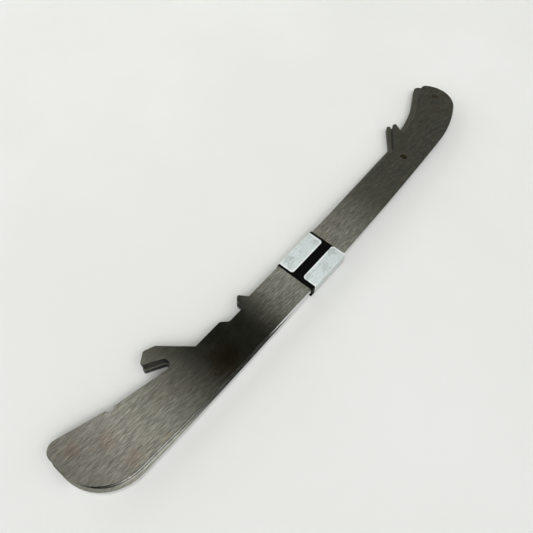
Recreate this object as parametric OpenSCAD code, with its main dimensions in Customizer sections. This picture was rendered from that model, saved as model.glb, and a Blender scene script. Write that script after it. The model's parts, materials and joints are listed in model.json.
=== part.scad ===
// A matched pair of hockey skate runners, lying face to face and held by a wrap band with two labels.
// Each runner clips into a skate's holder by the hooks on its top edge.
// X runs from heel to toe, Y from the ice edge to the top edge, and Z is up as the pair lies on a table.

/* [Runner] */
// Length of a runner from heel tip to toe tip
runner_l = 280; // [254:1:306]
// Depth of the steel from top edge to ice edge at its deepest
runner_h = 19.5; // [17:0.5:24]
// Thickness of the steel
runner_t = 3; // [2.5:0.1:4]
// Radius of the ice edge
rocker_r = 2100; // [1800:50:3600]
// Distance from the heel tip to the deepest point of the ice edge
rocker_x = 122; // [115:1:150]

/* [Heel] */
// Height of the heel's back corner above the top edge, before it is rounded
heel_rise = 17.8; // [16:0.2:20]
// Fall of the heel's top towards the toe, in degrees
heel_fall = 17.7; // [15:0.1:20]
// Radius of the heel under its back edge
heel_r = 22; // [18:0.5:26]
// Radius of the heel's back corner
heel_corner_r = 4.5; // [2:0.5:6]
// Distance from the heel tip to the small notch
notch_x = 26.2; // [22:0.2:30]
// Width of the small notch
notch_w = 3.6; // [2:0.1:5]
// Depth of the small notch
notch_d = 1.2; // [0.6:0.1:2]

/* [Heel hook] */
// Distance from the heel tip to the tip of the heel hook
hook_x = 48; // [44:0.5:54]
// Opening of the slot at the hook's tip
slot_mouth = 8.4; // [7.6:0.1:9.4]
// Fall of the slot's floor towards the toe, in degrees
slot_fall = 11.5; // [10:0.1:13]
// Fall of the slot's roof towards the toe, in degrees
roof_fall = 30.7; // [29:0.1:33]
// Radius of the slot's end
slot_r = 2.6; // [2:0.1:3.2]
// Height of the hook above the top edge, before it is rounded
hook_rise = 17; // [16:0.2:19]
// Height of the seat between the hook and the dip
seat_rise = 1.4; // [0.6:0.1:2.4]
// Depth of the dip behind the nub
dip_d = 1.75; // [0.5:0.05:3]
// Distance from the heel tip to the back of the nub
nub_x = 97.8; // [95:0.1:99]
// Length of the nub at its foot
nub_l = 5.2; // [4.4:0.1:6.6]
// Height of the nub above the top edge, before it is rounded
nub_rise = 4.5; // [3:0.1:6]

/* [Toe] */
// Distance from the toe tip back to the start of the toe hook
toe_hook_x = 57.2; // [54:0.2:62]
// Height of the toe hook above the top edge, before it is rounded
toe_hook_rise = 13.2; // [12:0.2:15]
// Radius of the toe hook's tip
toe_hook_r = 1.2; // [0.8:0.1:1.4]
// Height of the notch in front of the toe hook
toe_notch_y = 2.7; // [2:0.1:3.6]
// Slope of the toe's hollow top where it meets the tip, in degrees
toe_slope = 25.5; // [22:0.5:29]
// Radius of the toe's hollow top
toe_hollow_r = 75; // [40:5:80]
// Radius of the toe's tip
tip_r = 3; // [2:0.2:4]
// Radius of the toe's nose
nose_r = 15; // [13:0.5:17]
// Radius of the ice edge where it turns up into the toe
toe_r = 70; // [60:1:80]
// Distance from the toe tip back to where the ice edge turns up
toe_turn_x = 36; // [32:1:42]

/* [Bundle] */
// Angle by which the lower runner is turned, in degrees
fan_angle = 1.35; // [0:0.05:1.8]
// Distance from the heel tip to the point where the runners' top edges cross
fan_x = 113; // [104:1:136]
// Distance that the lower runner lies further back
lower_back = 0.5; // [0:0.1:3]
// Gap between faces that lie on each other
lay_gap = 0.1; // [0.1:0.05:0.3]

/* [Wrap band] */
// Length of the band along the runners
band_l = 25.5; // [20:0.5:34]
// Distance from the heel tip to the middle of the band
band_x = 136.8; // [126:0.1:150]
// Thickness of the band
band_t = 0.3; // [0.2:0.05:0.6]
// Room between the band and the runners' edges
band_room = 0.15; // [0.15:0.05:0.5]
// Radius of the band's folds on the inside
fold_r = 0.2; // [0.1:0.05:0.2]

/* [Labels] */
// Length of a label along the runners
label_l = 23.1; // [14:0.1:25]
// Width of the top edge's label on the upper face, from the fold
label_top_w = 8.1; // [4:0.1:8.6]
// Width of the ice edge's label on the upper face, from the fold
label_ice_w = 7.3; // [4:0.1:8.6]
// Thickness of a label
label_t = 0.15; // [0.1:0.05:0.3]
// Radius of a label's corners
label_r = 1.5; // [0.5:0.1:3]
// Distance of the top edge's label from the band's middle, towards the toe
label_top_fore = -0.2; // [-1.6:0.1:1.6]
// Distance of the ice edge's label from the band's middle, towards the toe
label_ice_fore = 1.1; // [-1.6:0.1:1.6]

/* [Hidden] */

function heading(v) = atan2(v.y, v.x);
function unit(v) = v / norm(v);
function flat(p) = [p.x, p.y];
function toward(a) = [cos(a), sin(a)];
function turn(u, v) = u.x * v.y - u.y * v.x;
function join(lists) = [for (list = lists) for (p = list) p];

// The round of a corner [x, y, radius] between its neighbours: its centre and radius, the two points
// where it meets the lines to them, whether the corner points out of the shape, and the corner itself
function corner_round(before, corner, after) =
    let (
        u = unit(flat(before) - flat(corner)),
        v = unit(flat(after) - flat(corner)),
        half = acos(u * v) / 2,
        reach = corner.z / tan(half)
    )
    [
        flat(corner) + unit(u + v) * corner.z / sin(half),
        corner.z,
        flat(corner) + u * reach,
        flat(corner) + v * reach,
        turn(u, v) > 0,
        flat(corner)
    ];

// The ice edge is one long arc, and the heel and toe rounds are tangent to it
rocker_c = [rocker_x, rocker_r - runner_h];
heel_c = [
    heel_r,
    rocker_c.y - sqrt(pow(rocker_r - heel_r, 2) - pow(rocker_x - heel_r, 2))
];
heel_turn = heading(heel_c - rocker_c);
toe_turn = asin((runner_l - toe_turn_x - rocker_x) / rocker_r) - 90;
toe_c = rocker_c + (rocker_r - toe_r) * [cos(toe_turn), sin(toe_turn)];
nose_cx = runner_l - nose_r;
nose_c = [nose_cx, toe_c.y - sqrt(pow(toe_r - nose_r, 2) - pow(nose_cx - toe_c.x, 2))];
nose_turn = heading(nose_c - toe_c);

// The tip lies inside the nose's round, and the toe's hollow top runs out of it
tip_turn = 33.5;
tip_c = nose_c + (nose_r - tip_r) * [cos(tip_turn), sin(tip_turn)];
tip_start = tip_c + tip_r * [-sin(toe_slope), cos(toe_slope)];
tip_far = tip_start + 2 * tip_r * [cos(toe_slope), sin(toe_slope)];

// The heel hook's slot is a wedge between its floor and its roof
heel_top = function (x) heel_rise - x * tan(heel_fall);
floor_start = [notch_x + notch_w, heel_top(notch_x) - 1.1];
slot_floor = function (x) floor_start.y - (x - floor_start.x) * tan(slot_fall);
hook_tip = [hook_x, slot_floor(hook_x) + slot_mouth];
slot_apex_x = hook_x + slot_mouth / (tan(roof_fall) - tan(slot_fall));
slot_apex = [slot_apex_x, slot_floor(slot_apex_x)];

// The toe hook leans forward over its notch
toe_hook_back = runner_l - toe_hook_x;
toe_hook_tip = toe_hook_back + toe_hook_rise / tan(36);
toe_notch = [toe_hook_tip - (toe_hook_rise - toe_notch_y) / tan(61.5), toe_notch_y];
notch_slope = 5;
hollow_x = (tip_start.y - toe_notch.y + toe_notch.x * tan(notch_slope) - tip_start.x * tan(toe_slope))
    / (tan(notch_slope) - tan(toe_slope));
hollow_corner = [hollow_x, toe_notch.y + (hollow_x - toe_notch.x) * tan(notch_slope)];
hollow_room = min(norm(hollow_corner - toe_notch), norm(tip_start - hollow_corner)) - 2;
hollow_r = min(toe_hollow_r, hollow_room / tan((toe_slope - notch_slope) / 2));

// Corners of the top edge from heel to toe, each with its radius
top_corners = [
    [0, heel_c.y, 0],
    [0, heel_rise, heel_corner_r],
    [notch_x, heel_top(notch_x), 0.5],
    [notch_x + 0.4, heel_top(notch_x) - notch_d - 0.2, 0.5],
    [notch_x + notch_w - 1, floor_start.y - notch_d + 0.2, 0.5],
    [floor_start.x, floor_start.y, 0.5],
    [slot_apex.x, slot_apex.y, slot_r],
    [hook_tip.x, hook_tip.y, 1.1],
    [hook_x + 5.5, hook_rise, 1.2],
    [hook_x + 10.6, hook_rise - 2.1, 1.5],
    [hook_x + 21.8, seat_rise, 1],
    [nub_x - 12.8, seat_rise, 1.2],
    [nub_x - 9.8, -dip_d, 1.2],
    [nub_x, -dip_d, 0.6],
    [nub_x + 0.1, nub_rise - 1.6, 0.8],
    [nub_x + nub_l * 0.42, nub_rise, 0.8],
    [nub_x + nub_l, 0, 0.6],
    [toe_hook_back, 0, 2],
    [toe_hook_tip, toe_hook_rise, toe_hook_r],
    [toe_notch.x, toe_notch.y, 0.7],
    [hollow_corner.x, hollow_corner.y, hollow_r],
    [tip_start.x, tip_start.y, 0]
];

rounds = [
    for (i = [1:len(top_corners) - 2])
        corner_round(top_corners[i - 1], top_corners[i], top_corners[i + 1])
];
small_rounds = [for (r = rounds) if (r[1] < 10) r];
hollow = rounds[len(rounds) - 1];

// The blank reaches past the ice edge and the toe, which are cut out of it by their rounds
under = -runner_h - 2;
front = runner_l + 2;

// Each round is drawn this much fuller than its radius, so that it crosses the lines it runs into
ease = 0.004;

// The runner's outline with its outer corners sharp and its inner ones cut straight across
runner_blank = join([
    [[0, under]],
    [for (r = rounds) for (p = r[4] ? [r[5]] : [r[2], r[3]]) p],
    [tip_far, [front, tip_far.y], [front, under]]
]);

// A point of the lower runner where it lies
function fan(p) = [
    fan_x - lower_back + (p.x - fan_x) * cos(fan_angle) - p.y * sin(fan_angle),
    (p.x - fan_x) * sin(fan_angle) + p.y * cos(fan_angle)
];

// Heights of the faces, from the band's underside up
lower_z = band_t + lay_gap;
upper_z = lower_z + runner_t + lay_gap;
stack_z = upper_z + runner_t + lay_gap;
band_h = stack_z + band_t;

// The band's inside clears both runners all along its length, and slants in from the lower one to the upper
band_from = band_x - band_l / 2;
band_to = band_x + band_l / 2;
lower_top = max(0.05, (band_to - fan_x + lower_back) * tan(fan_angle));
lower_ice = min(0, (band_from - fan_x + lower_back) * tan(fan_angle)) - runner_h;
band_core = [
    [lower_ice - band_room, band_t],
    [lower_top + band_room, band_t],
    [lower_top + band_room, lower_z + runner_t],
    [band_room, stack_z],
    [lower_ice - band_room, stack_z]
];
band_top = band_room + band_t;
band_ice = lower_ice - band_room - band_t;
label_real_l = min(label_l, band_l);
label_slack = (band_l - label_real_l) / 2;

// The origin lies under the middle of the whole bundle
fan_ice = heel_turn + fan_angle < -90 ? fan(rocker_c).y - rocker_r : fan(heel_c).y - heel_r;
peaks = concat([for (r = small_rounds) if (r[4]) r], [[tip_c, tip_r]]);
all_x = [
    0,
    runner_l,
    fan(heel_c).x - heel_r,
    fan(rounds[0][0]).x - rounds[0][1],
    fan(nose_c).x + nose_r
];
all_y = join([
    [-runner_h, fan_ice, band_ice - label_t],
    [for (r = peaks) r[0].y + r[1]],
    [for (r = peaks) fan(r[0]).y + r[1]]
]);
mid = [(min(all_x) + max(all_x)) / 2, (min(all_y) + max(all_y)) / 2];

// What an outer corner loses to its round
module outer_round(r) {
    difference() {
        polygon([r[2], r[5] + unit(r[5] - r[0]), r[3]]);
        translate(r[0])
            circle(r[1] + ease, $fn = 96);
    }
}

// The wide round of the toe's hollow top, kept clear of the hook behind it
module toe_hollow() {
    back = hollow[2] - 2 * toward(notch_slope);
    fore = hollow[3] + 2 * toward(toe_slope);
    intersection() {
        translate(hollow[0])
            circle(hollow[1] + ease, $fn = 720);
        polygon([
            back + [0, 0.5],
            fore + [0, 0.5],
            fore - [0, 1],
            hollow_corner - [0, 1],
            back - [0, 1]
        ]);
    }
}

// What lies outside a round between two angles
module outside(centre, r, from, to) {
    mid_way = (from + to) / 2;
    far = 2 * r + 10;
    difference() {
        polygon([
            centre + r / 2 * toward(from),
            centre + far * toward(from),
            centre + far * toward(mid_way),
            centre + far * toward(to),
            centre + r / 2 * toward(to)
        ]);
        translate(centre)
            circle(r, $fn = 360);
    }
}

// Outline of a runner
module runner_face() {
    difference() {
        intersection() {
            polygon(runner_blank);
            translate(rocker_c)
                circle(rocker_r, $fn = 3600);
        }
        for (r = small_rounds)
            if (r[4])
                outer_round(r);
            else
                translate(r[0])
                    circle(r[1] + ease, $fn = 96);
        toe_hollow();
        outside(heel_c, heel_r + ease, -180, heel_turn);
        outside(toe_c, toe_r + ease, toe_turn, nose_turn + 2);
        outside(nose_c, nose_r + 2 * ease, nose_turn, tip_turn + 4);
        outside(tip_c, tip_r + 3 * ease, tip_turn, 90 + toe_slope);
    }
}

// A shape drawn across the runners, in Y and Z, stood up along X
module along_x(from, length) {
    translate([from, 0, 0])
        rotate([90, 0, 90])
            linear_extrude(length)
                children();
}

// The band's section grown outwards, with its folds rounded
module band_section(extra) {
    n = len(band_core);
    normals = [for (i = [0:n - 1]) unit([
        band_core[(i + 1) % n].y - band_core[i].y,
        band_core[i].x - band_core[(i + 1) % n].x
    ])];
    grown = [for (i = [0:n - 1])
        let (p = normals[(i + n - 1) % n], q = normals[i])
        band_core[i] + extra * (p + q) / (1 + p * q)];
    difference() {
        polygon(grown);
        for (i = [0:n - 1])
            outer_round(corner_round(
                grown[(i + n - 1) % n],
                [grown[i].x, grown[i].y, fold_r + extra],
                grown[(i + 1) % n]
            ));
    }
}

module runner_lower() {
    color("dimgray")
        translate([fan_x - lower_back - mid.x, -mid.y, lower_z])
            rotate([0, 0, fan_angle])
                translate([-fan_x, 0, 0])
                    linear_extrude(runner_t)
                        runner_face();
}

module runner_upper() {
    color("gray")
        translate([-mid.x, -mid.y, upper_z])
            linear_extrude(runner_t)
                runner_face();
}

module wrap_band() {
    color("black")
        translate([-mid.x, -mid.y, 0])
            along_x(band_from, band_l)
                difference() {
                    band_section(band_t);
                    band_section(0);
                }
}

// A label folded over the band's edge at y, with dir 1 on the top edge and -1 on the ice edge
module folded_label(fore, width, y, dir) {
    from = band_x - label_real_l / 2 + max(-label_slack, min(fore, label_slack));
    inner = y - dir * width;
    past = y + dir * 4;
    intersection() {
        along_x(from, label_real_l)
            difference() {
                band_section(band_t + label_t);
                band_section(band_t);
            }
        translate([0, 0, fold_r + band_t])
            linear_extrude(band_h + label_t)
                union() {
                    translate([from, min(inner + dir * label_r, past)])
                        square([label_real_l, abs(past - inner) - label_r]);
                    translate([from + label_r, min(inner, past)])
                        square([label_real_l - 2 * label_r, abs(past - inner)]);
                    for (x = [from + label_r, from + label_real_l - label_r])
                        translate([x, inner + dir * label_r])
                            circle(label_r, $fn = 48);
                }
    }
}

module label_top_edge() {
    color("lightsteelblue")
        translate([-mid.x, -mid.y, 0])
            folded_label(label_top_fore, label_top_w, band_top, 1);
}

module label_ice_edge() {
    color("lightsteelblue")
        translate([-mid.x, -mid.y, 0])
            folded_label(label_ice_fore, label_ice_w, band_ice, -1);
}

runner_lower();
runner_upper();
wrap_band();
label_top_edge();
label_ice_edge();
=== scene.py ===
# %% [markdown]
# # A pair of skate runners in a wrap band
# Two flat steel runners lie face to face on a table. A black film goes round both near the middle, and two pale
# labels are folded over its edges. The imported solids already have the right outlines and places, so each step
# below takes one of them, gives it the fine shape that only shows close up, and then its finish.

import json
import math

import bmesh
import bpy
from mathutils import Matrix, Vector

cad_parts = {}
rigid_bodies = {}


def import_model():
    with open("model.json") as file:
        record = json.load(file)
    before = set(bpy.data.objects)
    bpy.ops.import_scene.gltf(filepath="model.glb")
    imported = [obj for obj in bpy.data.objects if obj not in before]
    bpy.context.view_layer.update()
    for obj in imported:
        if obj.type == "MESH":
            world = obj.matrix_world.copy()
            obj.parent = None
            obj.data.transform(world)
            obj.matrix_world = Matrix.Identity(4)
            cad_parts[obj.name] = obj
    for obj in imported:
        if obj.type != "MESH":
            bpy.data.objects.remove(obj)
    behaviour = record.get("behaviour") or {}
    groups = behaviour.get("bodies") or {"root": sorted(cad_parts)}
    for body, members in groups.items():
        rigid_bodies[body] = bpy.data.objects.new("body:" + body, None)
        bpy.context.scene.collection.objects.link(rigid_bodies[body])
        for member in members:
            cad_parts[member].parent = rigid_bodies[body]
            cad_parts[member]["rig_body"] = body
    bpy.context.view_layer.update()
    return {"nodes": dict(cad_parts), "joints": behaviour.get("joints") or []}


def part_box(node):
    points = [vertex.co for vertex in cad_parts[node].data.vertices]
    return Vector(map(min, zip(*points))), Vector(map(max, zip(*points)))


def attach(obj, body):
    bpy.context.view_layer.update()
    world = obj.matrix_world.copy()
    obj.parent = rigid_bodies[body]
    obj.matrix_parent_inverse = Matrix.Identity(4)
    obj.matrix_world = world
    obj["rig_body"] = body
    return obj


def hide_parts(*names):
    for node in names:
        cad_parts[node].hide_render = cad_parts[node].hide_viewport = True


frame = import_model()
nodes = frame["nodes"]
MM = 0.001

for name in sorted(nodes):
    low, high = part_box(name)
    print(name, "size in mm:", [round(v / MM, 2) for v in high - low])

# %% [markdown]
# ## The camera
# The photograph looks down on the table at about 59 degrees, from the heel's side. A camera was fitted to the
# runners' outline, and its place and angles are repeated here, so the render can be laid over the photograph.
# The lens follows from the fit too: a wide one, which is why the heel looks so much broader than the toe.

# %% Camera
CAMERA_PLACE = Vector((-113.34, -75.22, 213.67)) * MM
CAMERA_HEADING = 40.513
CAMERA_PITCH = 59.218
SENSOR_WIDTH = 36
# The focal length as a share of the picture's width
FOCAL_SHARE = 512 / 533


def add_object(name, data):
    """Puts a mesh, a light or a camera into the scene."""
    thing = bpy.data.objects.new(name, data)
    bpy.context.scene.collection.objects.link(thing)
    return thing


camera_data = bpy.data.cameras.new("camera")
camera_data.sensor_width = SENSOR_WIDTH
camera_data.lens = SENSOR_WIDTH * FOCAL_SHARE
camera_data.clip_start = 10 * MM
camera = add_object("camera", camera_data)
camera.location = CAMERA_PLACE
camera.rotation_euler = (math.radians(90 - CAMERA_PITCH), 0, math.radians(CAMERA_HEADING - 90))
bpy.context.scene.camera = camera
print("camera lens in mm:", round(camera_data.lens, 2))

# %% [markdown]
# ## Helpers for shader nodes
# Every finish here is made of nodes, and most lines of such code only add a node, set its values and link it.
# One small helper does that, so a finish reads as a list of what goes into what. Another starts a node group
# with named sockets, because a pattern that several finishes share is built once and placed in each.

# %% Node helpers
def put(tree, kind, inputs=None, **settings):
    """Adds a node, sets its properties, and sets or links its inputs by name or number."""
    node = tree.nodes.new("ShaderNode" + kind)
    for key, value in settings.items():
        setattr(node, key, value)
    for key, value in (inputs or {}).items():
        if isinstance(value, bpy.types.NodeSocket):
            tree.links.new(value, node.inputs[key])
        else:
            node.inputs[key].default_value = value
    return node


def calc(tree, operation, *values):
    """One step of maths on numbers and sockets."""
    return put(tree, "Math", dict(enumerate(values)), operation=operation).outputs[0]


def mix(tree, factor, first, second, blend="MIX"):
    """Mixes two colours. Inputs 6 and 7 and output 2 are the Mix node's sockets for colours."""
    return put(tree, "Mix", {0: factor, 6: first, 7: second}, data_type="RGBA", blend_type=blend).outputs[2]


def remap(tree, value, low, high, new_low=0.0, new_high=1.0):
    """Maps low to high onto new_low to new_high, with a soft start and end."""
    inputs = {0: value, 1: low, 2: high, 3: new_low, 4: new_high}
    return put(tree, "MapRange", inputs, interpolation_type="SMOOTHSTEP").outputs[0]


print("helpers for single nodes are ready")

# %% Group and material helpers
def new_group(name, inputs, outputs):
    """Starts a node group, and returns it with its input node's sockets and its output node."""
    group = bpy.data.node_groups.new(name, "ShaderNodeTree")
    for label, kind, value in inputs:
        socket = group.interface.new_socket(label, in_out="INPUT", socket_type="NodeSocket" + kind)
        socket.default_value = value
    for label, kind in outputs:
        group.interface.new_socket(label, in_out="OUTPUT", socket_type="NodeSocket" + kind)
    return group, group.nodes.new("NodeGroupInput").outputs, group.nodes.new("NodeGroupOutput")


def place(tree, group, **values):
    """Places a node group in a tree. An input's name has _ where the socket's has a space."""
    node = tree.nodes.new("ShaderNodeGroup")
    node.node_tree = group
    for key, value in values.items():
        socket = node.inputs[key.replace("_", " ")]
        if isinstance(value, bpy.types.NodeSocket):
            tree.links.new(value, socket)
        else:
            socket.default_value = value
    return node.outputs


def new_material(name, **constants):
    """Starts a material with a Principled shader whose even values are set on its own sockets."""
    material = bpy.data.materials.new(name)
    material.use_nodes = True
    tree = material.node_tree
    shader = tree.nodes["Principled BSDF"]
    for key, value in constants.items():
        shader.inputs[key.replace("_", " ")].default_value = value
    return material, tree, shader


def feed(tree, shader, colour, rough, height, strength, depth):
    """Links a colour, a roughness and a bump of some strength and depth to the shader."""
    bump = put(tree, "Bump", {"Strength": strength, "Distance": depth, "Height": height})
    tree.links.new(colour, shader.inputs["Base Color"])
    tree.links.new(rough, shader.inputs["Roughness"])
    tree.links.new(bump.outputs[0], shader.inputs["Normal"])


print("helpers for groups and materials are ready")

# %% [markdown]
# ## Pattern: brushed grain
# The flat faces of a runner are brushed along their length, so the steel is covered with fine, long lines.
# An image could hold such lines, but noise that is squeezed across and stretched along gives them at any
# distance, and it never repeats. Two sizes are mixed: lines that show in a picture of the whole runner, and
# hair lines that show close up. A turn lets the lines follow a runner that lies at an angle, and lets a second
# set of lines cross the first, as on steel that was ground in more than one pass.

# %% Brushed grain group
# How many hair lines go to one line: along, across and in depth
HAIR_SQUEEZE = (2.3, 3.1, 3.1)

grain_group, grain_in, grain_out = new_group(
    "brushed_grain",
    [("Lines along", "Float", 270.0), ("Lines across", "Float", 6200.0), ("Lines in depth", "Float", 6200.0),
     ("Turn", "Float", 0.0)],
    [("Grain", "Float"), ("Hair", "Float")],
)
grain_place = put(grain_group, "TexCoord").outputs["Object"]
turned = put(grain_group, "VectorRotate", {"Vector": grain_place, "Angle": grain_in["Turn"]},
             rotation_type="Z_AXIS").outputs[0]
squeeze = put(grain_group, "CombineXYZ", {"X": grain_in["Lines along"], "Y": grain_in["Lines across"],
                                          "Z": grain_in["Lines in depth"]}).outputs[0]
line_place = put(grain_group, "VectorMath", {0: turned, 1: squeeze}, operation="MULTIPLY").outputs[0]
hair_place = put(grain_group, "VectorMath", {0: line_place, 1: HAIR_SQUEEZE}, operation="MULTIPLY").outputs[0]
line_noise = put(grain_group, "TexNoise", {"Vector": line_place, "Scale": 1.0, "Detail": 3.0, "Roughness": 0.55})
hair_noise = put(grain_group, "TexNoise", {"Vector": hair_place, "Scale": 1.0, "Detail": 2.0, "Roughness": 0.6})
grain_group.links.new(remap(grain_group, line_noise.outputs[0], 0.3, 0.7), grain_out.inputs["Grain"])
grain_group.links.new(hair_noise.outputs[0], grain_out.inputs["Hair"])
print("group:", grain_group.name)

# %% [markdown]
# ## Pattern: blotches and spots
# Steel that has been handled has faint blotches with no clear edge, and here and there a small spot of rust.
# Blotches are slow noise, of which only the high parts are kept. A spot has a known place, so it is the
# distance to a point with some noise added, which makes its edge ragged. The labels use both for their smudges.

# %% Blotch and spot groups
blotch_group, blotch_in, blotch_out = new_group(
    "blotches",
    [("Size", "Float", 60.0), ("From", "Float", 0.5), ("To", "Float", 0.75), ("Shift", "Float", 0.0)],
    [("Mask", "Float")],
)
blotch_place = put(blotch_group, "TexCoord").outputs["Object"]
blotch_noise = put(blotch_group, "TexNoise", {"Vector": blotch_place, "W": blotch_in["Shift"],
                                              "Scale": blotch_in["Size"], "Detail": 4.0, "Roughness": 0.55},
                   noise_dimensions="4D")
blotch_mask = remap(blotch_group, blotch_noise.outputs[0], blotch_in["From"], blotch_in["To"])
blotch_group.links.new(blotch_mask, blotch_out.inputs["Mask"])

spot_group, spot_in, spot_out = new_group(
    "ragged_spot",
    [("Centre", "Vector", (0.0, 0.0, 0.0)), ("Radius", "Float", 0.002), ("Ragged", "Float", 0.5)],
    [("Mask", "Float")],
)
spot_place = put(spot_group, "TexCoord").outputs["Object"]
spot_far = put(spot_group, "VectorMath", {0: spot_place, 1: spot_in["Centre"]},
               operation="DISTANCE").outputs["Value"]
spot_share = calc(spot_group, "DIVIDE", spot_far, spot_in["Radius"])
spot_noise = put(spot_group, "TexNoise", {"Vector": spot_place, "Scale": 900.0, "Detail": 3.0})
spot_wave = calc(spot_group, "SUBTRACT", spot_noise.outputs[0], 0.5)
spot_wave = calc(spot_group, "MULTIPLY", spot_wave, spot_in["Ragged"])
spot_mask = remap(spot_group, calc(spot_group, "ADD", spot_share, spot_wave), 0.35, 1.0, 1.0, 0.0)
spot_group.links.new(spot_mask, spot_out.inputs["Mask"])
print("groups:", blotch_group.name, spot_group.name)

# %% [markdown]
# ## Finish: the flat faces of a runner
# Brushed stainless steel, nearly grey with a trace of olive. Two sets of lines that cross at a small angle change
# both the colour and the roughness, and a few long scratches are lighter. The bump is kept very low, because the
# real lines are a few thousandths of a millimetre deep. Stains are multiplied over the colour, so the lines go on
# through them, and a small rust spot covers it. Each runner has its own grain angle, stains and spots, so they
# don't look like copies.

# %% Brushed face finish
STEEL = (0.43, 0.43, 0.4, 1)
STEEL_DARK = (0.02, 0.02, 0.0185, 1)
WARM_STAIN = (1.0, 0.86, 0.82, 1)
WARM_TRACE = (1.0, 0.955, 0.98, 1)
BROWN_STAIN = (0.6, 0.45, 0.25, 1)
RUST = (0.02, 0.014, 0.002, 1)
CROSSING_TURN, SCRATCH_TURN = 0.2, 0.06
GRAIN_SHARE, CROSSING_SHARE, HAIR_SHARE = 0.4, 0.3, 0.3
FACE_BUMP = 0.03 * MM


def spot_mask_at(tree, x, y, level, radius, ragged):
    """A ragged spot on a flat face. Its place, the face's level and its radius are in millimetres."""
    centre = Vector((x, y, level)) * MM
    return place(tree, spot_group, Centre=centre, Radius=radius * MM, Ragged=ragged)["Mask"]


def brushed_face(name, turn, shift, lighter, level, rust_spots, tints):
    """Rust spots are (x, y, radius) and tints (x, y, radius, strength, tone), on a face at some level."""
    material, tree, shader = new_material(name)
    grain, hair = place(tree, grain_group, Turn=turn)
    crossing = place(tree, grain_group, Turn=turn + CROSSING_TURN, Lines_along=350.0, Lines_across=5400.0)["Grain"]
    scratch = place(tree, grain_group, Turn=turn + SCRATCH_TURN, Lines_along=90.0, Lines_across=1300.0)["Grain"]
    warm = place(tree, blotch_group, Size=55.0, From=0.52, To=0.72, Shift=shift)["Mask"]
    cloudy = place(tree, blotch_group, Size=140.0, From=0.42, To=0.7, Shift=shift + 7)["Mask"]
    lines = calc(tree, "ADD", calc(tree, "MULTIPLY", grain, GRAIN_SHARE),
                 calc(tree, "MULTIPLY", crossing, CROSSING_SHARE))
    lines = calc(tree, "ADD", lines, calc(tree, "MULTIPLY", hair, HAIR_SHARE))
    colour = mix(tree, calc(tree, "ADD", lines, lighter), STEEL_DARK, STEEL)
    colour = mix(tree, remap(tree, scratch, 0.8, 1.0, 0.0, 0.4), colour, STEEL)
    colour = mix(tree, calc(tree, "MULTIPLY", warm, 0.5), colour, WARM_STAIN, "MULTIPLY")
    rough = remap(tree, lines, 0.2, 0.8, 0.18, 0.09)
    rough = calc(tree, "ADD", rough, calc(tree, "MULTIPLY", cloudy, 0.025))
    for x, y, radius, strength, tone in tints:
        tint = spot_mask_at(tree, x, y, level, radius, ragged=2.0)
        colour = mix(tree, calc(tree, "MULTIPLY", tint, strength), colour, tone, "MULTIPLY")
    metal = 1.0
    for x, y, radius in rust_spots:
        rust = spot_mask_at(tree, x, y, level, radius, ragged=1.4)
        colour = mix(tree, remap(tree, rust, 0.0, 0.35), colour, RUST)
        rough = calc(tree, "MAXIMUM", rough, calc(tree, "MULTIPLY", rust, 0.7))
        metal = calc(tree, "SUBTRACT", metal, remap(tree, rust, 0.3, 0.8, 0.0, 0.4))
    tree.links.new(metal, shader.inputs["Metallic"])
    feed(tree, shader, colour, rough, lines, 0.15, FACE_BUMP)
    return material


print("steel from", STEEL_DARK[:3], "to", STEEL[:3])

# %% Stains of both runners
# Levels of the stained faces, in millimetres
UPPER_TOP, LOWER_UNDERSIDE = 6.5, 0.4
# The band slides along the lower runner, so the axis of its joint gives that runner's turn
slide_axis = frame["joints"][0]["axis"]
LOWER_TURN = -math.atan2(slide_axis[1], slide_axis[0])
upper_rust = [(81.1, -6.6, 1.9)]
lower_rust = [(-95.0, -6.0, 1.8)]
upper_tints = [
    (132.8, 5.2, 2.4, 0.7, BROWN_STAIN), (-66.1, -11.7, 9.5, 0.7, BROWN_STAIN),
    (-126.3, 2.7, 1.6, 0.25, BROWN_STAIN), (-120.8, 0.9, 5.0, 0.7, WARM_STAIN),
    (-117.7, -11.9, 5.0, 0.7, WARM_STAIN), (-131.6, 8.3, 4.5, 0.7, WARM_STAIN),
    (-103.9, -16.4, 3.0, 0.6, WARM_STAIN), (-125.0, -3.0, 24.0, 1.0, WARM_TRACE),
]
lower_tints = [(60.0, -8.0, 2.6, 0.8, BROWN_STAIN), (-40.0, -12.0, 7.0, 0.6, BROWN_STAIN)]
upper_face = brushed_face("upper_brushed_face", turn=0.0, shift=1.0, lighter=0.0, level=UPPER_TOP,
                          rust_spots=upper_rust, tints=upper_tints)
lower_face = brushed_face("lower_brushed_face", turn=LOWER_TURN, shift=4.0, lighter=0.15, level=LOWER_UNDERSIDE,
                          rust_spots=lower_rust, tints=lower_tints)
print("finishes:", upper_face.name, lower_face.name, "turn in degrees:", round(math.degrees(LOWER_TURN), 2))

# %% [markdown]
# ## Finish: the cut edge and the ice edge
# A runner is cut out of sheet, so the walls of its hooks and its top edge have short upright lines from the cut
# and are duller than the faces. Their nearly black colour is painted shade, for the shade in the hooks, the slots
# and the gap between the runners. The ice edge is ground with a round wheel that runs along it, so it has fine
# lines lengthwise and is the brightest part of the steel. The grain group makes both: only the way it is
# squeezed differs. Along a wall that turns, noise that is fast in both X and Y always changes along the wall.

# %% Edge finishes
EDGE_BUMP = 0.006 * MM


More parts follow.
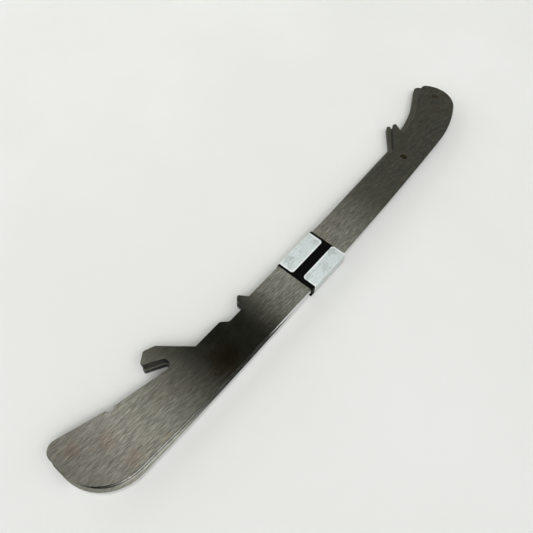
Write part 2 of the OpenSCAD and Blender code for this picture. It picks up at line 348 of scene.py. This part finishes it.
def edge_steel(name, tint, dark_share, along, across, depth, rough_low, rough_high):
    """Steel of an edge. Its lines go down to dark_share of the tint, and along, across and depth squeeze them."""
    material, tree, shader = new_material(name, Metallic=1.0)
    grain, hair = place(tree, grain_group, Lines_along=along, Lines_across=across, Lines_in_depth=depth)
    dull = place(tree, blotch_group, Size=120.0, From=0.45, To=0.7, Shift=11.0)["Mask"]
    dark = [dark_share * v for v in tint] + [1]
    colour = mix(tree, calc(tree, "MULTIPLY", grain, 0.8), dark, [*tint, 1])
    colour = mix(tree, calc(tree, "MULTIPLY", dull, 0.4), colour, dark)
    rough = remap(tree, hair, 0.3, 0.7, rough_low, rough_high)
    rough = calc(tree, "ADD", rough, calc(tree, "MULTIPLY", dull, 0.1))
    feed(tree, shader, colour, rough, grain, 0.2, EDGE_BUMP)
    return material


# The cut walls' nearly black tint is painted shade, standing in for the shade in the hooks, slots and the gap
# between the runners
cut_edge_painted_shade = edge_steel("cut_edge_painted_shade", tint=(0.05, 0.048, 0.0445), dark_share=0.45, along=2400.0, across=2400.0,
                      depth=120.0, rough_low=0.34, rough_high=0.5)
ice_edge = edge_steel("ground_ice_edge", tint=(0.82, 0.82, 0.805), dark_share=0.72, along=40.0, across=40.0,
                      depth=4200.0, rough_low=0.08, rough_high=0.14)
print("finishes:", cut_edge_painted_shade.name, ice_edge.name)

# %% [markdown]
# ## Helpers for pieces
# Every piece starts and ends in the same way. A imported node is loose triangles, so a copy is merged, and its flat
# parts are dissolved into single faces that an operator can work on. At the end the mesh becomes an object that
# rides on its node's body and takes the node's place. A film is smooth with small rounds, and one helper gives both.

# %% Helpers for pieces
MERGE = 0.02 * MM
FLAT_WITHIN = math.radians(0.2)
CORNER_PAST = math.radians(60)
SAME_PLACE = 0.001 * MM


def merged_copy(node):
    """A mesh to work on: the node's triangles merged, with flat parts as one face."""
    bm = bmesh.new()
    bm.from_mesh(nodes[node].data)
    bmesh.ops.remove_doubles(bm, verts=bm.verts, dist=MERGE)
    bmesh.ops.dissolve_limit(bm, angle_limit=FLAT_WITHIN, verts=bm.verts, edges=bm.edges)
    bmesh.ops.recalc_face_normals(bm, faces=bm.faces)
    return bm


def soften(bm, edges, width):
    """Bevels edges to a small round of two steps."""
    bmesh.ops.bevel(bm, geom=edges, offset=width, offset_type="OFFSET", segments=2, profile=0.5,
                    affect="EDGES", clamp_overlap=False, material=-1)


def soften_film(bm, width):
    """A film is smooth all over, with a small round at its corners."""
    for face in bm.faces:
        face.smooth = True
    soften(bm, [e for e in bm.edges if e.is_manifold and e.calc_face_angle() > CORNER_PAST], width)


def finish_piece(bm, name, node, materials, sharp_angle):
    """Makes the object, which stands for the node and rides on the node's body."""
    mesh = bpy.data.meshes.new(name)
    smooth = [face.smooth for face in bm.faces]
    bm.to_mesh(mesh)
    bm.free()
    for material in materials:
        mesh.materials.append(material)
    mesh.set_sharp_from_angle(angle=math.radians(sharp_angle))
    mesh.polygons.foreach_set("use_smooth", smooth)
    piece = add_object(name, mesh)
    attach(piece, nodes[node]["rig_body"])
    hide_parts(node)
    print(name, "faces:", len(mesh.polygons), "stands for", node)


print("helpers for pieces are ready")

# %% [markdown]
# ## Piece: a steel runner
# The solid of a runner has sharp edges all round. The real one has two kinds of edge. Where it was cut out, the
# corner is broken by a light bevel that catches a thin line of light. Along the ice edge the corners stay sharp,
# and the wall between them is hollow: the wheel grinds a shallow groove of about 12.7 mm radius into it. A cutter
# could be swept along the edge, but it would have to follow the whole curve. It is simpler to cut the upright edges
# of the ice wall into short pieces and to move the new points in, along an arc that fades out where the wall turns
# away from the ice.

# %% Walls of a runner
HOOK_LEVEL = 21 * MM
TOE_LENGTH = 30 * MM
HEEL_LENGTH = 12 * MM


def is_ice_wall(face, low, high):
    """Walls that the wheel reaches: the ice side with the heel's round corner, without the hooks' undersides."""
    centre = face.calc_center_median()
    under_a_hook = centre.y > low.y + HOOK_LEVEL and centre.x < high.x - TOE_LENGTH
    at_the_heel = centre.x < low.x + HEEL_LENGTH and face.normal.y < 0.3
    looks_down = face.normal.y < -0.04
    return abs(face.normal.z) < 0.5 and (looks_down or at_the_heel) and not under_a_hook


def is_upright(edge):
    a, b = (v.co for v in edge.verts)
    return (a.xy - b.xy).length < SAME_PLACE


print("the wheel reaches", round(HOOK_LEVEL / MM), "mm up, and all round the toe")

# %% Steel runners
EDGE_BEVEL = 0.14 * MM
HOLLOW_RADIUS = 12.7 * MM
HOLLOW_CUTS = 5
# The hollow fades in as the wall turns to the ice: from and over which part of its normal
RUN_OUT_FROM, RUN_OUT_OVER = 0.05, 0.25
# Numbers of a runner's materials
FACE, CUT, ICE = 0, 1, 2


def steel_runner(name, node, face_material):
    """Hollows the ice wall, breaks the cut edges, and gives each part of the surface its finish."""
    bm = merged_copy(node)
    low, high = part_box(node)
    half = (high.z - low.z) / 2
    for face in bm.faces:
        wall = ICE if is_ice_wall(face, low, high) else CUT
        face.material_index = FACE if abs(face.normal.z) > 0.5 else wall
    upright = [e for e in bm.edges if is_upright(e) and any(f.material_index == ICE for f in e.link_faces)]
    bmesh.ops.subdivide_edges(bm, edges=upright, cuts=HOLLOW_CUTS)
    bm.normal_update()
    deepest = half ** 2 / (2 * HOLLOW_RADIUS)
    moves = []
    for vert in bm.verts:
        across = (vert.co.z - low.z - half) / half
        if abs(across) < 0.99:
            out = Vector((vert.normal.x, vert.normal.y, 0)).normalized()
            run_out = min(1, max(0, (-out.y - RUN_OUT_FROM) / RUN_OUT_OVER))
            moves.append((vert, -out * deepest * (1 - across ** 2) * run_out))
    for vert, move in moves:
        vert.co += move
    rim = [e for e in bm.edges if {f.material_index for f in e.link_faces} == {FACE, CUT}]
    soften(bm, rim, EDGE_BEVEL)
    bm.normal_update()
    for face in bm.faces:
        face.smooth = abs(face.normal.z) < 0.999
        if face.smooth and face.material_index == FACE:
            face.material_index = CUT
    print(name, "upright lines:", len(upright), "hollow in mm:", round(deepest / MM, 3), "rim edges:", len(rim))
    finish_piece(bm, name, node, [face_material, cut_edge_painted_shade, ice_edge], sharp_angle=35)


steel_runner("steel_runner_upper", "runner_upper", upper_face)
steel_runner("steel_runner_lower", "runner_lower", lower_face)

# %% [markdown]
# ## Finish and piece: the black wrap
# The wrap is a thin black plastic film, cut roughly to length, so its ends aren't quite straight, and at the heel
# end on the ice edge it has torn into two small prongs. Waves need points to move, so the band is cut across by
# a row of planes, and the points of its two end loops are shifted along the runners by a few slow waves. The film
# is matt and nearly black. Fine creases run round it where it was pulled tight, and a little dust lies on it.

# %% Wrap finish
WRAP_BLACK = (0.0006, 0.0006, 0.0007, 1)
WRAP_CREASE = (0.0018, 0.0018, 0.002, 1)
DUST = (0.3, 0.3, 0.3, 1)
WRAP_BUMP = 0.05 * MM

wrap_film, wrap_tree, wrap_shader = new_material("black_wrap_film", Metallic=0.0, Specular_IOR_Level=0.07)
crease, crease_hair = place(wrap_tree, grain_group, Lines_along=1500.0, Lines_across=90.0, Lines_in_depth=90.0)
dust = place(wrap_tree, blotch_group, Size=1500.0, From=0.66, To=0.8, Shift=3.0)["Mask"]
wrap_colour = mix(wrap_tree, calc(wrap_tree, "MULTIPLY", crease, 0.5), WRAP_BLACK, WRAP_CREASE)
wrap_colour = mix(wrap_tree, calc(wrap_tree, "MULTIPLY", dust, 0.05), wrap_colour, DUST)
wrap_rough = remap(wrap_tree, crease_hair, 0.3, 0.7, 0.42, 0.62)
feed(wrap_tree, wrap_shader, wrap_colour, wrap_rough, crease, 0.25, WRAP_BUMP)
print("finish:", wrap_film.name)

# %% Slice the wrap band
SLICE_Y, SLICE_Z = 1.0 * MM, 0.45 * MM
END_STRIP = 2 * MM

wrap = merged_copy("wrap_band")
wrap_low, wrap_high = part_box("wrap_band")


def slice_at(bm, point, normal):
    """Cuts every face along a plane and keeps both sides."""
    bmesh.ops.bisect_plane(bm, geom=[*bm.verts, *bm.edges, *bm.faces], plane_co=point, plane_no=normal)


def slice_evenly(bm, axis, first, last, step):
    """Cuts right through a mesh at even steps, so that it gets points to move."""
    normal = Vector((0, 0, 0))
    normal[axis] = 1
    count = int((last - first) / step)
    for i in range(1, count):
        slice_at(bm, normal * (first + (last - first) * i / count), normal)


slice_evenly(wrap, 1, wrap_low.y, wrap_high.y, SLICE_Y)
slice_evenly(wrap, 2, wrap_low.z, wrap_high.z, SLICE_Z)
for strip_x in (wrap_low.x + END_STRIP, wrap_high.x - END_STRIP):
    slice_at(wrap, (strip_x, 0, 0), (1, 0, 0))
print("points on the wrap:", len(wrap.verts))

# %% Wave and tear the ends of the wrap
WAVE = 0.12 * MM
TEAR_DEPTH = 0.9 * MM
TEAR_HALF = 0.9 * MM
TEAR_REACH = 0.8 * MM
WRAP_BEVEL = 0.07 * MM

tear_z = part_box("runner_lower")[1].z
for vert in wrap.verts:
    at_heel = abs(vert.co.x - wrap_low.x) < SAME_PLACE
    at_toe = abs(vert.co.x - wrap_high.x) < SAME_PLACE
    if at_heel or at_toe:
        y, z = vert.co.y / MM, vert.co.z / MM
        wave = 0.5 + 0.28 * math.sin(0.9 * y + 0.5 * z) + 0.22 * math.sin(2.3 * y - 1.1 * z + 2.0)
        vert.co.x += WAVE * wave * (1 if at_heel else -1)
    if at_heel and vert.co.y < wrap_low.y + TEAR_REACH:
        near = max(0, 1 - abs(vert.co.z - tear_z) / TEAR_HALF)
        vert.co.x += TEAR_DEPTH * near
soften_film(wrap, WRAP_BEVEL)
finish_piece(wrap, "wrap_film", "wrap_band", [wrap_film], sharp_angle=50)

# %% [markdown]
# ## Finish and pieces: the two labels
# Each label is a pale blue-grey field with a white rim, folded over the wrap's edge. Only the flat panel on the
# upper face has rounded corners, and the rim follows them, so the finish measures how far a point is inside a
# rounded panel: that is one distance with a few steps of maths, kept in a group because both labels use it with
# their own sizes. Past the fold the panel goes on, and painted shade turns the label's side grey, because that
# side faces away from the light. Streaked smudges and fine paper fibres break up the field.

# %% Rounded panel group
panel_group, panel_in, panel_out = new_group(
    "inside_rounded_panel",
    [("Centre x", "Float", 0.0), ("Centre y", "Float", 0.0), ("Half length", "Float", 0.01),
     ("Half width", "Float", 0.004), ("Corner", "Float", 0.0015)],
    [("Depth", "Float")],
)
panel_xyz = put(panel_group, "SeparateXYZ", {0: put(panel_group, "TexCoord").outputs["Object"]}).outputs


def past_straight(axis, centre, half):
    """How far a point lies past the straight part of the panel's side. Before its end that is under nought."""
    away = calc(panel_group, "ABSOLUTE", calc(panel_group, "SUBTRACT", panel_xyz[axis], panel_in[centre]))
    straight = calc(panel_group, "SUBTRACT", panel_in[half], panel_in["Corner"])
    return calc(panel_group, "SUBTRACT", away, straight)


past_x = past_straight("X", "Centre x", "Half length")
past_y = past_straight("Y", "Centre y", "Half width")
outer = put(panel_group, "CombineXYZ", {"X": calc(panel_group, "MAXIMUM", past_x, 0.0),
                                        "Y": calc(panel_group, "MAXIMUM", past_y, 0.0)}).outputs[0]
outer_far = put(panel_group, "VectorMath", {0: outer}, operation="LENGTH").outputs["Value"]
inner_far = calc(panel_group, "MINIMUM", calc(panel_group, "MAXIMUM", past_x, past_y), 0.0)
panel_far = calc(panel_group, "ADD", outer_far, inner_far)
panel_group.links.new(calc(panel_group, "SUBTRACT", panel_in["Corner"], panel_far), panel_out.inputs["Depth"])
print("group:", panel_group.name)

# %% Label finishes
LABEL_FIELD = (0.55, 0.62, 0.62, 1)
LABEL_RIM = (0.75, 0.79, 0.79, 1)
LABEL_SMUDGE = (0.31, 0.33, 0.325, 1)
# Painted shade for the label's side past the fold, which faces away from the light
LABEL_SIDE_SHADE = (0.36, 0.37, 0.355, 1)
LABEL_CORNER = 1.5 * MM
LABEL_BUMP = 0.03 * MM
RIM_WIDTH = 0.75 * MM
RIM_BLUR = 0.15 * MM
PANEL_HALF_WIDTH = 12 * MM
# The fold's side gets painted shade: none down to the first depth under the label's top, and full from the second
# one down
SHADE_FROM, SHADE_FULL = 0.25 * MM, 0.9 * MM


def label_finish(name, node, dir_y, smudges):
    """The panel runs from the label's inner edge to well past its fold, which lies towards dir_y."""
    low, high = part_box(node)
    inner = low.y if dir_y > 0 else high.y
    material, tree, shader = new_material(name, Metallic=0.0, Specular_IOR_Level=0.3)
    depth = place(tree, panel_group, Centre_x=(low.x + high.x) / 2, Centre_y=inner + dir_y * PANEL_HALF_WIDTH,
                  Half_length=(high.x - low.x) / 2, Half_width=PANEL_HALF_WIDTH, Corner=LABEL_CORNER)["Depth"]
    field = remap(tree, depth, RIM_WIDTH - RIM_BLUR, RIM_WIDTH + RIM_BLUR)
    fibre, hair = place(tree, grain_group, Lines_along=500.0, Lines_across=1500.0)
    worn = place(tree, blotch_group, Size=900.0, From=0.5, To=0.78, Shift=inner / MM)["Mask"]
    streaks = remap(tree, hair, 0.35, 0.65, 0.35, 1.0)
    colour = mix(tree, field, LABEL_RIM, LABEL_FIELD)
    colour = mix(tree, calc(tree, "MULTIPLY", fibre, 0.4), colour, LABEL_RIM)
    colour = mix(tree, calc(tree, "MULTIPLY", calc(tree, "MULTIPLY", worn, field), 0.55), colour, LABEL_SMUDGE)
    for x, y, radius, strength in smudges:
        spot = calc(tree, "MULTIPLY", spot_mask_at(tree, x, y, high.z / MM, radius, ragged=2.2), streaks)
        colour = mix(tree, calc(tree, "MULTIPLY", spot, strength), colour, LABEL_SMUDGE)
    up = put(tree, "SeparateXYZ", {0: put(tree, "TexCoord").outputs["Object"]}).outputs["Z"]
    # Painted shade: the label's side past the fold is greyed, as it faces away from the light
    painted_side_shade = remap(tree, up, high.z - SHADE_FULL, high.z - SHADE_FROM, 0.6, 0.0)
    colour = mix(tree, painted_side_shade, colour, LABEL_SIDE_SHADE)
    feed(tree, shader, colour, remap(tree, hair, 0.3, 0.7, 0.38, 0.52), fibre, 0.15, LABEL_BUMP)
    return material


# Smudges: x, y and radius in millimetres, and strength
top_smudges = [(-9.8, -0.8, 3.2, 0.75), (-12.5, -3.5, 2.2, 0.5), (6.0, -4.5, 2.4, 0.45)]
ice_smudges = [(7.0, -13.6, 3.0, 0.7), (-11.6, -13.2, 2.6, 0.6), (-2.0, -16.5, 3.4, 0.4)]
top_film = label_finish("top_label_film", "label_top_edge", 1, top_smudges)
ice_film = label_finish("ice_label_film", "label_ice_edge", -1, ice_smudges)
print("finishes:", top_film.name, ice_film.name)

# %% Label pieces
LABEL_BEVEL = 0.04 * MM


def label_piece(name, node, material):
    bm = merged_copy(node)
    soften_film(bm, LABEL_BEVEL)
    finish_piece(bm, name, node, [material], sharp_angle=40)


label_piece("label_sheet_top", "label_top_edge", top_film)
label_piece("label_sheet_ice", "label_ice_edge", ice_film)

# %% [markdown]
# ## The table
# The pair lies on a wide, pale, matt surface whose ends don't show, so one large flat face will do. Slow blotches
# in its tone keep it from looking like plain paper. It only carries the object.

# %% Table
TABLE_HALF = 6.0
TABLE_TONE = (0.80, 0.805, 0.79, 1)
TABLE_PALE = (0.835, 0.84, 0.83, 1)

table_bm = bmesh.new()
bmesh.ops.create_grid(table_bm, x_segments=1, y_segments=1, size=TABLE_HALF)
table_mesh = bpy.data.meshes.new("table")
table_bm.to_mesh(table_mesh)
table_bm.free()
table_paint, table_tree, table_shader = new_material(
    "pale_table", Metallic=0.0, Specular_IOR_Level=0.2, Roughness=0.55)
mottle = place(table_tree, blotch_group, Size=9.0, From=0.35, To=0.75, Shift=2.0)["Mask"]
table_tree.links.new(mix(table_tree, mottle, TABLE_TONE, TABLE_PALE), table_shader.inputs["Base Color"])
table_mesh.materials.append(table_paint)
table = add_object("table", table_mesh)
print("table is", [round(v, 1) for v in table.dimensions], "m")

# %% [markdown]
# ## The light
# Steel shows what is round it more than it shows itself, so the light is set up for what the steel mirrors. A
# bright, soft dome, brightest high up, makes the table pale and its shadows soft. From the camera the flat faces
# mirror an arc of it beyond the runners. There the dome is dim, and a row of panels hangs in front of it: bright
# over the heel and the middle, none between them and weak over the toe, so the steel goes from light to dark and
# back along its length. Two short dim strips lie where the ice edge mirrors them by way of the lower runner, and
# draw a dark line along it. From any other side the faces mirror the bright dome and look like pale brushed steel.

# %% Ceiling panels
# From and to along X in metres, and how bright the panel is
CEILING = [
    (-0.36, -0.19, 0.68), (-0.19, -0.13, 0.92), (-0.13, -0.06, 1.14), (-0.06, -0.01, 0.92), (-0.01, 0.04, 0.6),
    (0.04, 0.1, 0.245), (0.355, 0.47, 0.84), (0.47, 0.7, 0.73), (0.7, 0.77, 0.46), (0.77, 2.2, 0.19),
]
CEILING_TINT = (1.0, 1.0, 0.89)
CEILING_Y, CEILING_Z, CEILING_WIDE = 0.33, 1.0, 1.0

for i, (from_x, to_x, glow) in enumerate(CEILING):
    panel = bpy.data.lights.new(f"ceiling_{i}", "AREA")
    panel.shape = "RECTANGLE"
    panel.size, panel.size_y = to_x - from_x, CEILING_WIDE
    panel.energy = glow * math.pi * (to_x - from_x) * CEILING_WIDE
    panel.color = CEILING_TINT
    add_object(panel.name, panel).location = ((from_x + to_x) / 2, CEILING_Y, CEILING_Z)
    print(panel.name, "from and to in m:", from_x, to_x, "W:", round(panel.energy, 3))

# %% Dome
DOME_DIM = (0.016, 0.0165, 0.009, 1)
DOME_FRONT = (1.0, 1.005, 1.0, 1)
DOME_BACK = (1.9, 1.91, 1.89, 1)
DOME_HIGH = (3.45, 3.46, 3.46, 1)

world = bpy.data.worlds.new("soft_dome")
world.use_nodes = True
dome = world.node_tree
look = put(dome, "TexCoord").outputs["Generated"]
forward, sideways, height = put(dome, "SeparateXYZ", {0: look}).outputs


def dim_strip(lean, start, end, dim_within, bright_past):
    """A soft strip along an arc that leans over sideways, from start to end up from +X, all in degrees."""
    over = (0, math.sin(math.radians(lean)), math.cos(math.radians(lean)))
    upward = put(dome, "VectorMath", {0: look, 1: over}, operation="DOT_PRODUCT").outputs["Value"]
    turn = calc(dome, "ARCTAN2", upward, forward)
    turn = put(dome, "Clamp", {0: turn, 1: math.radians(start), 2: math.radians(end)}).outputs[0]
    near = calc(dome, "ADD", calc(dome, "MULTIPLY", forward, calc(dome, "COSINE", turn)),
                calc(dome, "MULTIPLY", upward, calc(dome, "SINE", turn)))
    return remap(dome, near, math.cos(math.radians(bright_past)), math.cos(math.radians(dim_within)))


over_faces = dim_strip(lean=18.2, start=37, end=106, dim_within=22, bright_past=40)
over_heel_edge = dim_strip(lean=-14.0, start=80, end=96, dim_within=4, bright_past=9)
over_ice_edge = dim_strip(lean=-19.9, start=58, end=76, dim_within=9, bright_past=14)
dim_share = calc(dome, "MAXIMUM", over_faces, calc(dome, "MAXIMUM", over_heel_edge, over_ice_edge))
dome_light = mix(dome, remap(dome, sideways, -0.4, 0.7), DOME_FRONT, DOME_BACK)
dome_light = mix(dome, remap(dome, height, 0.5, 0.85), dome_light, DOME_HIGH)
dome.links.new(mix(dome, dim_share, dome_light, DOME_DIM), dome.nodes["Background"].inputs["Color"])
bpy.context.scene.world = world
bpy.context.scene.view_settings.view_transform = "Standard"
print("dome:", world.name)
